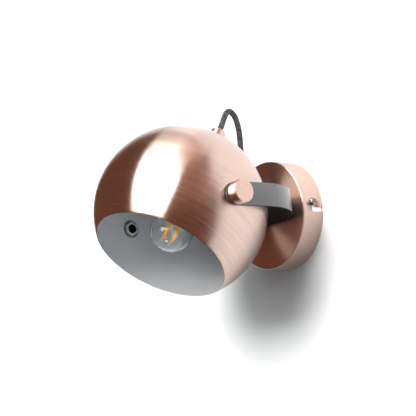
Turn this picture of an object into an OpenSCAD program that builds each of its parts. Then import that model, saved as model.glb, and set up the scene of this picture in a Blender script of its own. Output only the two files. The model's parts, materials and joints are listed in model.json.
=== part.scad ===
// Ball spotlight on a bow, for a wall. Millimetres, +Z up, +Y into the wall.
// The origin is the centre of the wall cup's back edge.

/* [Shade] */
// Outside diameter of the ball shade
shade_d = 180; // [165:1:220]
// Thickness of the shade's steel
shade_wall = 0.8; // [0.6:0.1:1.5]
// Diameter of the shade's opening
opening_d = 141; // [120:1:150]
// Angle of the light below the horizontal
tilt_down = 55; // [50:1:80]

/* [Pivots] */
// Outside diameter of the hollow nipples
nipple_d = 10; // [9.5:0.25:11]
// Bore of the hollow nipples
nipple_bore = 8; // [7.5:0.25:8.5]
// How far the swivel's nipple stands proud of its nuts
nipple_proud = 0.6; // [0.2:0.1:1.5]
// Width of the nuts across the flats
nut_af = 13; // [13:0.5:17]
// Thickness of the nuts on the canopy and at the pole
nut_h = 3; // [2:0.25:5]
// Thickness of the thin nuts inside the shade
thin_nut_h = 2; // [1.5:0.25:3]
// Diameter of the washers inside the shade
seat_washer_d = 19; // [17:0.5:24]
// Thickness of the washers inside the shade
seat_washer_t = 0.8; // [0.5:0.1:1.5]
// How far the bow's ends stand out past the friction washers
friction_margin = 0.3; // [0.2:0.1:4]
// Thickness of the friction washers on the pivot axis
friction_t = 0.8; // [0.5:0.1:1.5]
// Length of the knobs
knob_l = 11; // [9:0.5:16]
// Bevel at the knobs' edges
knob_bevel = 0.8; // [0.4:0.1:1.5]
// Metal left between a knob's bore and its face
knob_face_t = 4; // [2:0.25:5]

/* [Bow] */
// Width of the bow's strip
bow_w = 24; // [20:0.5:30]
// Thickness of the bow's strip
bow_t = 2.5; // [2:0.1:4]
// Length of the bow's flat middle
bow_flat = 24; // [24:1:50]
// Gap between the canopy's face and the back of the shade
rear_gap = 27.5; // [26:0.5:36]

/* [Canopy] */
// Outside diameter of the canopy
canopy_d = 116; // [106:1:130]
// Depth of the canopy
canopy_depth = 27; // [26:0.5:36]
// Thickness of the canopy's steel
canopy_wall = 1; // [0.7:0.1:1.5]
// Radius of the canopy's front edge
canopy_edge_r = 1.6; // [1.5:0.1:4]
// Diameter of the spacer between canopy and bow
spacer_d = 24; // [20:0.5:30]
// Thickness of the spacer between canopy and bow
spacer_t = 2; // [0.5:0.1:2.5]
// Diameter of the washer behind the canopy's face
rear_washer_d = 20; // [17:0.5:26]
// Thickness of the washer behind the canopy's face
rear_washer_t = 1; // [0.5:0.1:2]

/* [Bayonet] */
// Distance of the canopy screws from the wall
screw_depth = 12.4; // [11:0.2:16]
// Width of the bayonet slots
slot_w = 4.4; // [4.3:0.1:5.5]
// Travel along the bayonet slot's cross leg
lock_travel = 7.9; // [6:0.1:10]
// Height of the locked screws off the bracket's centre line
lock_rise = 3.2; // [0:0.1:4]
// Diameter of the canopy screws' thread
screw_d = 4; // [3.5:0.1:4.2]
// Length of the canopy screws' thread
screw_l = 9; // [7:0.5:12]
// Diameter of the canopy screws' head
head_d = 8.6; // [7.5:0.1:9.5]
// Height of the canopy screws' head
head_h = 2.8; // [2:0.1:3.5]
// Width of the cross recess's arms
recess_w = 1; // [0.6:0.1:1.4]
// Span of the cross recess
recess_span = 4.6; // [3.5:0.1:6]
// Depth of the cross recess
recess_depth = 1.4; // [0.8:0.1:1.8]

/* [Wall bracket] */
// Width of the bracket's strip
bracket_w = 18; // [16:0.5:24]
// Thickness of the bracket's steel
bracket_t = 1.5; // [1:0.1:2]
// Distance between the centres of the fixing slots
fixing_spacing = 60; // [54:1:64]
// Length of the fixing slots, end to end
fixing_slot_l = 20; // [10:0.5:22]
// Width of the fixing slots
fixing_slot_w = 5; // [4:0.25:6]
// Diameter of the hole for the house cable
cable_hole_d = 10; // [8:0.5:12]
// Width of the bracket's tongue under the terminal block
tongue_w = 20; // [14:0.5:26]
// How far the tabs reach past the screws
tab_end = 6; // [4:0.5:7]
// Distance of the earth screw from the middle
earth_x = 13; // [12:0.5:14]
// Diameter of the earth screw's head
earth_head_d = 7; // [6:0.25:8]
// Height of the earth screw's head
earth_head_h = 2.4; // [1.6:0.1:3.5]
// Diameter of the earth screw's thread
earth_d = 3.5; // [3:0.1:4]

/* [Terminal block] */
// Length of the terminal block
block_l = 30; // [27:0.5:36]
// Height of the terminal block
block_h = 16; // [14:0.5:20]
// Depth of the terminal block
block_depth = 12; // [11:0.5:14]
// Distance of the block's top from the bracket's centre line
block_drop = 14; // [13:0.5:16]
// Pitch of the block's ways
way_pitch = 9; // [8:0.25:10]
// Bore of the block's wire holes
way_bore = 3.4; // [3.2:0.1:4]
// Diameter of the wells over the terminal screws
well_d = 4.6; // [4.2:0.1:5.2]
// Diameter of the terminal screws
terminal_screw_d = 4; // [3.5:0.1:4.1]
// Length of the terminal screws
terminal_screw_l = 3.5; // [3:0.1:4]

/* [Lamp holder] */
// Distance from the shade's pole to the middle of the bulb's globe
bulb_drop = 114; // [112:1:130]
// Outside diameter of the lamp holder
holder_d = 28; // [27:0.5:34]
// Length of the lamp holder's shell
holder_l = 38; // [34:0.5:42]
// Thickness of the lamp holder's shell
holder_wall = 1.3; // [1:0.1:2]
// Height of the lamp holder's cap
holder_cap_h = 11; // [9:0.5:14]
// Diameter of the threaded collar on the lamp holder's cap
holder_collar_d = 15; // [14:0.5:18]
// Thickness of the threaded sleeve
sleeve_t = 0.5; // [0.4:0.05:0.7]
// Gap around the bulb's cap in the sleeve
sleeve_gap = 0.3; // [0.2:0.05:0.4]
// Thickness of the centre contact's leaf
leaf_t = 0.5; // [0.3:0.1:0.8]
// Width of the centre contact's leaf
leaf_w = 4; // [3:0.25:5]

/* [Bulb] */
// Diameter of the bulb's globe
bulb_d = 45; // [40:0.5:50]
// Length of the bulb, tip to globe
bulb_l = 78; // [76:1:84]
// Thickness of the bulb's glass
glass_t = 0.6; // [0.5:0.1:1.2]
// Outside diameter of the bulb's screw cap
cap_d = 13.8; // [13.2:0.1:14.2]
// Depth of the screw cap's thread
cap_thread = 0.5; // [0.3:0.05:0.7]
// Pitch of the screw cap's thread
cap_pitch = 2.8; // [2.4:0.1:3.2]
// Length of the bulb's screw cap
cap_l = 20; // [18:0.5:22]
// Height of the black insulator on the cap
insulator_h = 2.6; // [2:0.1:3.5]
// Diameter of the cap's tip contact
tip_d = 4.6; // [4:0.1:5.5]
// Height of the cap's tip contact
tip_h = 1.4; // [1:0.1:2]
// Diameter of the bulb's glass stem
stem_d = 3; // [2.5:0.1:4]
// Length of one filament
filament_l = 26; // [20:0.5:28]
// Diameter of one filament
filament_d = 2; // [1.2:0.1:2.4]
// Distance of the filaments from the bulb's axis
filament_r = 7; // [4:0.1:8]
// Diameter of the filaments' support wires
support_d = 0.7; // [0.5:0.1:0.9]

/* [Cord] */
// Diameter of the textile cord
cord_d = 6.4; // [5.5:0.1:6.8]
// Diameter of the wires' insulation
wire_d = 2.2; // [1.8:0.1:2.4]
// Diameter of the cord gland at the pole
gland_d = 16.5; // [15:0.5:19]
// Height of the cord gland at the pole
gland_h = 19; // [17:0.5:21]
// Rounding of the gland's top edge
gland_edge_r = 1.8; // [1:0.1:2.5]
// How far the stem nipple reaches into the gland
gland_thread = 9; // [7:0.5:11]
// Thickness of the bush's flange
bush_flange_t = 0.8; // [0.5:0.1:1.2]
// Length of the bush inside the nipple
bush_l = 8; // [5:0.5:10]

/* [Fits] */
// Clearance around a turning or seated nipple
running = 0.05; // [0.03:0.01:0.08]
// Clearance between faces that turn on each other
face_gap = 0.1; // [0.1:0.05:0.3]
// Clearance around the cord, the core and other loose fits
loose = 0.2; // [0.15:0.05:0.3]

/* [Hidden] */
$fn = 96;
fine_fn = 160;
small_fn = 32;

// How far a cut runs past what it cuts
over = 1;
// Counts: steps of a rounded edge, ways of the block, filaments, turns of thread on the bulb's cap
edge_steps = 6;
ways = 3;
filament_count = 4;
thread_turns = 6;
// Turn of the filaments about the bulb's axis, and of the cross recess in the canopy screws
filament_turn = 28;
recess_turn = 45;
// Where the globe meets its neck, and one turn of the cap's thread: root, crest and root again
neck_share = 0.89;
thread_shares = [0.5, 0.8, 1.2, 1.5];

// The knobs are as wide as the bow
knob_d = bow_w;
friction_d = bow_w - 2 * friction_margin;
friction_x = sqrt(shade_d * shade_d - friction_d * friction_d) / 2;
shade_r = shade_d / 2;
shade_in_r = shade_r - shade_wall;
canopy_r = canopy_d / 2;
pivot_reach = canopy_depth + rear_gap + shade_r;
opening_drop = sqrt(shade_r * shade_r - opening_d * opening_d / 4);
hex_share = 1 / cos(30);

// Distances from the middle of the lamp, along the pivot axis
bow_in_x = shade_r + friction_t + face_gap;
bow_out_x = bow_in_x + bow_t;
knob_x = bow_out_x + face_gap;
seat_x = sqrt(shade_in_r * shade_in_r - seat_washer_d * seat_washer_d / 4);
nipple_in_x = seat_x - seat_washer_t - thin_nut_h;
knob_bore_l = knob_l - knob_face_t;
nipple_out_x = knob_x + knob_bore_l - 2 * loose;

// Distances from the wall, along the swivel axis
spacer_s = canopy_depth + face_gap;
bow_s = spacer_s + spacer_t;
front_nut_s = bow_s + bow_t;
swivel_out_s = front_nut_s + nut_h + nipple_proud;
rear_washer_s = canopy_depth - canopy_wall - face_gap - rear_washer_t;
rear_nut_s = rear_washer_s - nut_h;
swivel_in_s = rear_nut_s - nipple_proud;
cord_end_s = swivel_out_s + bush_flange_t;
tail_end_s = swivel_in_s - cord_d / 2;
bend_r = bow_out_x - bow_flat / 2;

// Heights along the shade's own axis, from the ball's centre towards the pole
pole_nut_r = nut_af * hex_share / 2;
pole_seat_z = sqrt(shade_in_r * shade_in_r - pole_nut_r * pole_nut_r);
bulb_z = shade_r - bulb_drop;
tip_z = bulb_z + bulb_l - bulb_d / 2;
insulator_z = tip_z - tip_h - insulator_h;
cap_z = insulator_z - cap_l;
socket_top_z = tip_z + 2 * leaf_t;
mouth_z = cap_z + 2 * cap_thread;
holder_top_z = mouth_z + holder_l;
stem_low_z = holder_top_z + holder_cap_h / 2;
sleeve_in_r = cap_d / 2 + sleeve_gap;
core_r = holder_d / 2 - holder_wall - loose;

// Where the bracket's tabs stand
tab_out_x = sqrt((canopy_r - canopy_wall) * (canopy_r - canopy_wall) - bracket_w * bracket_w / 4) - loose;
block_z = -block_drop - block_h / 2;

// The cord's route from the gland's top over its loop, down behind the ball and into the bush
cord_route = [[0, -81.9, 89.5], [0, -78.5, 94.4], [-0.2, -75, 100.5], [-0.8, -71.2, 106.5],
    [-2, -67, 111.4], [-3.8, -61.6, 114.1], [-5.6, -55.8, 112.6], [-7.2, -51, 108],
    [-8.6, -47.8, 102], [-9.5, -46, 95], [-9.9, -45.4, 87], [-9.8, -45.9, 79], [-9, -46.9, 69],
    [-7.6, -47.8, 58], [-5.6, -48.4, 47], [-3.4, -48.6, 36], [-1.4, -48.6, 25], [-0.3, -48.3, 16],
    [0, -46.9, 8], [0, -43.6, 2.8], [0, -39.8, 0.5], [0, -36, 0]];
cord_sides = 10;
wire_sides = 8;

// The wires in the canopy, from the cord's tail to their terminals
live_route = [[0.5, -17.9, -1.8], [0.4, -15, -3.2], [0, -12, -6], [0, -9.5, -10], [0, -7.9, -14],
    [0, -7.6, -18.5]];
neutral_route = [[1.8, -17.9, 1], [4.2, -15, 0.6], [7.4, -12, -3], [8.8, -9.8, -8], [9, -7.8, -13.5],
    [9, -7.6, -18.5]];
earth_route = [[-1.8, -17.9, 1], [-4, -15, 2], [-7, -12.2, 3], [-10, -9.6, 2.6], [-12.2, -7, 1],
    [-13, -4.1, 0]];

// Shared shapes

function unit(v) = v / norm(v);
function heading(path, i, first, last) =
    i == 0 ? first
    : i == len(path) - 1 ? last
    : unit(unit(path[i + 1] - path[i]) + unit(path[i] - path[i - 1]));
function ring_at(p, t, across, r, n) =
    let (a = unit(cross(t, across)), b = cross(t, a))
    [for (k = [0 : n - 1]) p + r * (cos(360 * k / n) * a + sin(360 * k / n) * b)];

// A tube along a path: one ring of n points square to the path at each of its points
module swept_tube(path, d, n, first, last, across) {
    rings = len(path);
    points = [for (i = [0 : rings - 1])
        each ring_at(path[i], heading(path, i, first, last), across, d / 2, n)];
    walls = [for (i = [0 : rings - 2], k = [0 : n - 1])
        let (a = i * n + k, b = i * n + (k + 1) % n)
        each [[a, b, b + n], [a, b + n, a + n]]];
    start_cap = [for (k = [1 : n - 2]) [0, k + 1, k]];
    base = (rings - 1) * n;
    end_cap = [for (k = [1 : n - 2]) [base, base + k, base + k + 1]];
    polyhedron(points = points, faces = concat(walls, start_cap, end_cap));
}

module ring(outer_d, inner_d, h) {
    difference() {
        cylinder(d = outer_d, h = h);
        translate([0, 0, -over]) cylinder(d = inner_d, h = h + 2 * over);
    }
}

module hex_nut(h) {
    difference() {
        cylinder(d = nut_af * hex_share, h = h, $fn = 6);
        translate([0, 0, -over]) cylinder(d = nipple_d + 2 * running, h = h + 2 * over);
    }
}

// Half outline of a round cap with a rounded top edge
function edge_arc(r, h, e) =
    [for (k = [0 : edge_steps]) [r - e + e * cos(90 * k / edge_steps), h - e + e * sin(90 * k / edge_steps)]];

module round_cap(r, h, e) {
    rotate_extrude() polygon(concat([[0, 0], [r, 0]], edge_arc(r, h, e), [[0, h]]));
}

// Places something s out from the wall on the swivel axis, its own +Z towards the room
module from_wall(s) {
    translate([0, -s, 0]) rotate([90, 0, 0]) children();
}

// Places something in the shade's own frame, +Z towards the pole
module in_shade() {
    translate([0, -pivot_reach, 0]) rotate([tilt_down - 90, 0, 0]) children();
}

// Places something on each pivot, its own +Z outwards
module at_pivots(x) {
    for (side = [0, 180])
        translate([0, -pivot_reach, 0]) rotate([0, 0, side])
            translate([x, 0, 0]) rotate([0, 90, 0]) children();
}

// Wall bracket: a strip with a tab bent out at each end and a tongue under the terminal block

module slot_hole(l, w, h) {
    translate([-(l - w) / 2, -w / 2, 0]) cube([l - w, w, h]);
    for (side = [-1, 1]) translate([side * (l - w) / 2, 0, 0]) cylinder(d = w, h = h);
}

module wall_bracket() {
    color("#C9CACC") {
        difference() {
            union() {
                translate([-tab_out_x, -bracket_t, -bracket_w / 2])
                    cube([2 * tab_out_x, bracket_t, bracket_w]);
                translate([-tongue_w / 2, -bracket_t, block_z - block_h / 2])
                    cube([tongue_w, bracket_t, block_h / 2 - block_z]);
                for (side = [-1, 1])
                    translate([side * (tab_out_x - bracket_t / 2), -screw_depth - tab_end, -bracket_w / 2])
                        translate([-bracket_t / 2, 0, 0]) cube([bracket_t, screw_depth + tab_end, bracket_w]);
            }
            for (side = [-1, 1])
                translate([side * fixing_spacing / 2, over, 0]) rotate([90, 0, 0])
                    slot_hole(fixing_slot_l, fixing_slot_w, bracket_t + 2 * over);
            translate([0, over, 0]) rotate([90, 0, 0]) cylinder(d = cable_hole_d, h = bracket_t + 2 * over);
            translate([-earth_x, over, 0]) rotate([90, 0, 0])
                cylinder(d = earth_d + 2 * running, h = bracket_t + 2 * over);
            for (side = [-1, 1])
                translate([side * tab_out_x - over - bracket_t, -screw_depth, side * lock_rise])
                    rotate([0, 90, 0]) cylinder(d = screw_d + 2 * running, h = 2 * (bracket_t + over));
        }
    }
}

// Canopy: a spun cup with a hole for the swivel nipple and two bayonet slots

module bayonet_cut() {
    cut_l = canopy_wall + canopy_r - tab_out_x + over;
    translate([tab_out_x, 0, 0]) {
        translate([0, -screw_depth, lock_rise - lock_travel - slot_w / 2])
            cube([cut_l, screw_depth + over, slot_w]);
        translate([0, -screw_depth - slot_w / 2, lock_rise - lock_travel]) cube([cut_l, slot_w, lock_travel]);
        for (rise = [lock_rise - lock_travel, lock_rise])
            translate([0, -screw_depth, rise]) rotate([0, 90, 0]) cylinder(d = slot_w, h = cut_l);
    }
}

module canopy_cup() {
    in_r = canopy_r - canopy_wall;
    in_h = canopy_depth - canopy_wall;
    color("#C98B6B")
        difference() {
            rotate([90, 0, 0])
                rotate_extrude($fn = fine_fn)
                    polygon(concat(
                        [[canopy_r, 0]], edge_arc(canopy_r, canopy_depth, canopy_edge_r),
                        [[0, canopy_depth], [0, in_h]],
                        [for (k = [edge_steps : -1 : 0])
                            edge_arc(in_r, in_h, canopy_edge_r - canopy_wall)[k]],
                        [[in_r, 0]]));
            from_wall(in_h - over) cylinder(d = nipple_d + 2 * running, h = canopy_wall + 2 * over);
            bayonet_cut();
            rotate([0, 180, 0]) bayonet_cut();
        }
}

// Canopy screws: pan heads with a cross recess, locked at the end of the bayonet slots

module pan_screw() {
    difference() {
        union() {
            round_cap(head_d / 2, head_h, head_h - recess_depth / 2);
            translate([0, 0, -screw_l]) cylinder(d = screw_d, h = screw_l + over, $fn = small_fn);
        }
        for (turn = [0, 90])
            rotate([0, 0, turn]) translate([-recess_span / 2, -recess_w / 2, head_h - recess_depth])
                cube([recess_span, recess_w, head_h]);
    }
}

module canopy_screws() {
    color("#B9B4AE")
        for (side = [0, 180])
            rotate([0, side, 0]) translate([canopy_r, -screw_depth, lock_rise]) rotate([0, 90, 0])
                rotate([0, 0, recess_turn]) pan_screw();
}

// Terminal block with three ways, on the bracket's tongue

module at_ways() {
    for (k = [0 : ways - 1])
        translate([(k - (ways - 1) / 2) * way_pitch, 0, 0]) children();
}

module terminal_block() {
    well_depth = block_depth / 2;
    color("#F2F0EA")
        difference() {
            translate([-block_l / 2, -bracket_t - block_depth, block_z - block_h / 2])
                cube([block_l, block_depth, block_h]);
            at_ways() {
                translate([0, -bracket_t - block_depth / 2, block_z - block_h / 2 - over])
                    cylinder(d = way_bore, h = block_h + 2 * over);
                for (side = [-1, 1])
                    translate([0, -bracket_t - block_depth - over, block_z + side * block_h / 4])
                        rotate([-90, 0, 0]) cylinder(d = well_d, h = well_depth + over);
            }
        }
}

module terminal_screws() {
    color("#D6C27A")
        at_ways()
            for (side = [-1, 1])
                translate([0, -bracket_t - block_depth / 2 - way_bore / 2, block_z + side * block_h / 4])
                    rotate([90, 0, 0]) difference() {
                        cylinder(d = terminal_screw_d, h = terminal_screw_l, $fn = small_fn);
                        translate([-terminal_screw_d, -recess_w / 2, terminal_screw_l - recess_depth / 2])
                            cube([2 * terminal_screw_d, recess_w, recess_depth]);
                    }
}

module earth_screw() {
    color("#D6C27A")
        translate([-earth_x, -bracket_t, 0]) rotate([90, 0, 0]) {
            difference() {
                cylinder(d = earth_head_d, h = earth_head_h, $fn = small_fn);
                translate([-earth_head_d, -recess_w / 2, earth_head_h - recess_depth / 2])
                    cube([2 * earth_head_d, recess_w, recess_depth]);
            }
            translate([0, 0, -bracket_t])
                cylinder(d = earth_d, h = bracket_t + earth_head_h / 2, $fn = small_fn);
        }
}

// Wires inside the canopy

module live_wire() {
    color("#6B4226") swept_tube(live_route, wire_d, wire_sides, [0, 1, 0], [0, 0, -1], [1, 0, 0]);
}

module neutral_wire() {
    color("#2F5FA8") swept_tube(neutral_route, wire_d, wire_sides, [0, 1, 0], [0, 0, -1], [1, 0, 0.2]);
}

module earth_wire() {
    color("#5F8F2F") swept_tube(earth_route, wire_d, wire_sides, [0, 1, 0], [0, 1, 0], [0.1, 0, 1]);
}

// Bow: a strip round the back of the shade, a round end at each pivot

module bow() {
    arc_y = -(bow_s + bend_r);
    color("#6E6F70")
        difference() {
            union() {
                translate([-bow_flat / 2, -bow_s - bow_t, -bow_w / 2]) cube([bow_flat, bow_t, bow_w]);
                for (side = [0, 1]) mirror([side, 0, 0]) {
                    translate([bow_flat / 2, arc_y, -bow_w / 2])
                        rotate_extrude(angle = 90, $fn = fine_fn)
                            translate([bend_r - bow_t, 0]) square([bow_t, bow_w]);
                    translate([bow_in_x, -pivot_reach, -bow_w / 2]) cube([bow_t, pivot_reach + arc_y, bow_w]);
                    translate([bow_in_x, -pivot_reach, 0]) rotate([0, 90, 0]) cylinder(d = bow_w, h = bow_t);
                }
            }
            translate([-bow_out_x - over, -pivot_reach, 0]) rotate([0, 90, 0])
                cylinder(d = nipple_d + 2 * running, h = 2 * (bow_out_x + over));
            from_wall(bow_s - over) cylinder(d = nipple_d + 2 * running, h = bow_t + 2 * over);
        }
}

// Swivel: a hollow nipple through canopy and bow, between two nuts

module swivel_nipple() {
    color("#C9CACC") from_wall(swivel_in_s) ring(nipple_d, nipple_bore, swivel_out_s - swivel_in_s);
}

module swivel_spacer() {
    color("#262626") from_wall(spacer_s) ring(spacer_d, nipple_d + 2 * running, spacer_t);
}

module swivel_front_nut() {
    color("#B9B4AE") from_wall(front_nut_s) hex_nut(nut_h);
}

module swivel_rear_washer() {
    color("#C9CACC") from_wall(rear_washer_s) ring(rear_washer_d, nipple_d + 2 * running, rear_washer_t);
}

module swivel_rear_nut() {
    color("#B9B4AE") from_wall(rear_nut_s) hex_nut(nut_h);
}

// Cord bush: a plastic liner in the nipple's mouth

module cord_bush() {
    bush_d = nipple_bore - 2 * running;
    color("#262626") from_wall(swivel_out_s - bush_l) {
        ring(bush_d, cord_d + 2 * loose, bush_l + bush_flange_t);
        translate([0, 0, bush_l]) ring(nipple_d, cord_d + 2 * loose, bush_flange_t);
    }
}

module cord_tail() {
    color("#4A4648") from_wall(tail_end_s) cylinder(d = cord_d, h = cord_end_s - tail_end_s, $fn = small_fn);
}

module supply_cord() {
    color("#4A4648")
        swept_tube(cord_route, cord_d, cord_sides, [0, cos(tilt_down), sin(tilt_down)], [0, 1, 0], [1, 0, 0]);
}

// Shade: a spun ball, open below, with holes for the pivots and the stem

module shade() {
    color("#C98B6B") in_shade() difference() {
        sphere(r = shade_r, $fn = fine_fn);
        sphere(r = shade_in_r, $fn = fine_fn);
        translate([0, 0, -shade_r - over]) cylinder(r = shade_r, h = shade_r + over - opening_drop);
        translate([-shade_r - over, 0, 0]) rotate([0, 90, 0])
            cylinder(d = nipple_d + 2 * running, h = 2 * (shade_r + over));
        cylinder(d = nipple_d + 2 * running, h = shade_r + over);
    }
}

// Pivots: a hollow nipple, washer and thin nut inside the shade, a dished washer outside

module pivot_nipples() {
    color("#C9CACC") at_pivots(nipple_in_x) ring(nipple_d, nipple_bore, nipple_out_x - nipple_in_x);
}

module inner_nuts() {
    color("#C9CACC") at_pivots(nipple_in_x) hex_nut(thin_nut_h);
}

module inner_washers() {
    color("#8A8A8A") at_pivots(seat_x - seat_washer_t)
        ring(seat_washer_d, nipple_d + 2 * running, seat_washer_t);
}

module friction_washers() {
    color("#B9B7B4") at_pivots(friction_x) difference() {
        ring(friction_d, nipple_d + 2 * running, shade_r + friction_t - friction_x);
        translate([0, 0, -friction_x]) sphere(r = shade_r + face_gap);
    }
}

// Knobs: bevelled cylinders with a blind bore, screwed on the nipples' ends

module knob() {
    r = knob_d / 2;
    rotate_extrude() polygon([[nipple_d / 2 + running, 0], [r - knob_bevel / 2, 0], [r, knob_bevel / 2],
        [r, knob_l - knob_bevel], [r - knob_bevel, knob_l], [0, knob_l], [0, knob_bore_l],
        [nipple_d / 2 + running, knob_bore_l]]);
}

module near_knob() {
    color("#D39A7A") translate([knob_x, -pivot_reach, 0]) rotate([0, 90, 0]) knob();
}

module far_knob() {
    color("#D39A7A") translate([-knob_x, -pivot_reach, 0]) rotate([0, -90, 0]) knob();
}

// Pole: gland, grip and nut on a long hollow stem that carries the lamp holder

module cord_gland() {
    color("#D39A7A") in_shade() translate([0, 0, shade_r]) difference() {
        round_cap(gland_d / 2, gland_h, gland_edge_r);
        translate([0, 0, -over]) cylinder(d = nipple_d + 2 * running, h = gland_thread + loose + over);
        cylinder(d = nipple_bore, h = gland_h - gland_edge_r);
        cylinder(d = cord_d + 2 * loose, h = gland_h + over);
    }
}

module cord_grip() {
    color("#EDEBE4") in_shade() translate([0, 0, shade_r + gland_thread + 2 * loose])
        ring(nipple_bore - 2 * running, cord_d + loose, gland_h - gland_thread - gland_edge_r - 3 * loose);
}

module stem_nipple() {
    color("#C9CACC") in_shade() translate([0, 0, stem_low_z])
        ring(nipple_d, nipple_bore, shade_r + gland_thread - stem_low_z);
}

module pole_nut() {
    color("#C9CACC") in_shade() translate([0, 0, pole_seat_z - nut_h]) hex_nut(nut_h);
}

module stem_cord() {
    color("#4A4648") in_shade() translate([0, 0, stem_low_z - cord_d])
        cylinder(d = cord_d, h = shade_r + gland_h - stem_low_z + cord_d, $fn = small_fn);
}

// Lamp holder: cap, shell, core, threaded sleeve and centre contact

module holder_cap() {
    r = holder_d / 2;
    c = holder_collar_d / 2;
    flare = holder_cap_h / 3;
    color("#F4F2EE") in_shade() translate([0, 0, holder_top_z]) difference() {
        rotate_extrude()
            polygon([[0, 0], [r, 0], [r, flare], [c, 2 * flare], [c, holder_cap_h], [0, holder_cap_h]]);
        translate([0, 0, -over]) cylinder(r1 = r - holder_wall, r2 = nipple_d / 2, h = flare + 2 * over);
        translate([0, 0, -over]) cylinder(d = nipple_d + 2 * running, h = holder_cap_h + 2 * over);
    }
}

module holder_shell() {
    color("#F4F2EE") in_shade() translate([0, 0, mouth_z]) difference() {
        cylinder(d = holder_d, h = holder_l);
        translate([0, 0, holder_wall]) cylinder(r = core_r + loose, h = holder_l + over);
        translate([0, 0, -over]) cylinder(r = sleeve_in_r + sleeve_t, h = holder_wall + 2 * over);
    }
}

module holder_core() {
    color("#E4E0D6") in_shade() difference() {
        translate([0, 0, mouth_z + holder_wall]) cylinder(r = core_r, h = holder_l - 2 * holder_wall);
        translate([0, 0, mouth_z]) cylinder(r = sleeve_in_r + sleeve_t + running, h = socket_top_z - mouth_z);
        translate([0, 0, socket_top_z - over]) cylinder(d = leaf_w, h = holder_l);
    }
}

module thread_sleeve() {
    color("#C9B37A") in_shade() translate([0, 0, mouth_z + holder_wall])
        ring(2 * (sleeve_in_r + sleeve_t), 2 * sleeve_in_r, insulator_z - mouth_z);
}

module centre_contact() {
    color("#C9B37A") in_shade() {
        translate([-sleeve_in_r, -leaf_w / 2, socket_top_z - leaf_t]) cube([2 * sleeve_in_r, leaf_w, leaf_t]);
        translate([0, 0, socket_top_z - leaf_t])
            cylinder(d = leaf_w - 2 * running, h = 3 * leaf_w, $fn = small_fn);
    }
}

// Bulb: clear globe with a neck, screw cap, insulator, tip, glass stem and four filaments

module globe_solid(r, neck_r) {
    shoulder = r * neck_share;
    shoulder_r = sqrt(r * r - shoulder * shoulder);
    translate([0, 0, bulb_z]) sphere(r = r);
    translate([0, 0, bulb_z + shoulder])
        cylinder(r1 = shoulder_r, r2 = neck_r, h = cap_z - bulb_z - shoulder);
}

module bulb_globe() {
    neck_r = cap_d / 2 - cap_thread;
    color("#DDE6EA", 0.4) in_shade() difference() {
        globe_solid(bulb_d / 2, neck_r);
        globe_solid(bulb_d / 2 - glass_t, neck_r - glass_t);
        translate([0, 0, cap_z]) cylinder(d = bulb_d, h = bulb_d);
    }
}

module bulb_cap() {
    root_r = cap_d / 2 - cap_thread;
    color("#D5D2CC") in_shade() translate([0, 0, cap_z]) difference() {
        rotate_extrude() polygon(concat(
            [[0, 0], [root_r, 0]],
            [for (k = [0 : thread_turns - 1], i = [0 : 3])
                [i == 0 || i == 3 ? root_r : cap_d / 2, (k + thread_shares[i]) * cap_pitch]],
            [[root_r, cap_l], [0, cap_l]]));
        translate([0, 0, -over]) cylinder(r = root_r - cap_thread, h = cap_l);
    }
}

module bulb_insulator() {
    color("#15130F") in_shade() translate([0, 0, insulator_z])
        cylinder(r1 = cap_d / 2 - cap_thread, r2 = tip_d / 2 + cap_thread, h = insulator_h);
}

module bulb_tip() {
    color("#B8B6B0") in_shade() translate([0, 0, tip_z - tip_h]) round_cap(tip_d / 2, tip_h, tip_h / 2);
}

// The stem stands in the cap's neck and runs past the filaments' lower ends
module bulb_stem() {
    flare_r = cap_d / 2 - 3 * cap_thread;
    low_z = bulb_z - filament_l / 2;
    color("#D4DCDD", 0.6) in_shade() {
        translate([0, 0, low_z]) cylinder(d = stem_d, h = cap_z - low_z);
        translate([0, 0, low_z]) sphere(d = stem_d, $fn = small_fn);
        translate([0, 0, cap_z - flare_r]) cylinder(r1 = stem_d / 2, r2 = flare_r, h = 2 * flare_r);
    }
}

module at_filaments() {
    for (k = [0 : filament_count - 1]) rotate([0, 0, 360 * k / filament_count + filament_turn]) children();
}

// Two spoke wires for each filament, from the stem out to its ends
module filament_supports() {
    color("#B8B6B0") in_shade() at_filaments()
        for (z = [bulb_z - filament_l / 2, bulb_z + filament_l / 2])
            translate([stem_d / 2, 0, z]) rotate([0, 90, 0])
                cylinder(d = support_d, h = filament_r - stem_d / 2 - filament_d / 2, $fn = small_fn);
}

module filaments() {
    color("#E39A2C") in_shade() at_filaments()
        translate([filament_r, 0, bulb_z - filament_l / 2 - filament_d / 2])
            cylinder(d = filament_d, h = filament_l + filament_d, $fn = small_fn);
}

wall_bracket();
canopy_cup();
canopy_screws();
terminal_block();
terminal_screws();
earth_screw();
live_wire();
neutral_wire();
earth_wire();
bow();
swivel_nipple();
swivel_spacer();
swivel_front_nut();
swivel_rear_washer();
swivel_rear_nut();
cord_bush();
cord_tail();
supply_cord();
shade();
pivot_nipples();
inner_nuts();
inner_washers();
friction_washers();
cord_gland();
cord_grip();
stem_nipple();
pole_nut();
stem_cord();
holder_cap();
holder_shell();
holder_core();
thread_sleeve();
centre_contact();
bulb_globe();
bulb_cap();
bulb_insulator();
bulb_tip();
bulb_stem();
filament_supports();
filaments();
near_knob();
far_knob();
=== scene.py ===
import json
import math

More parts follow.
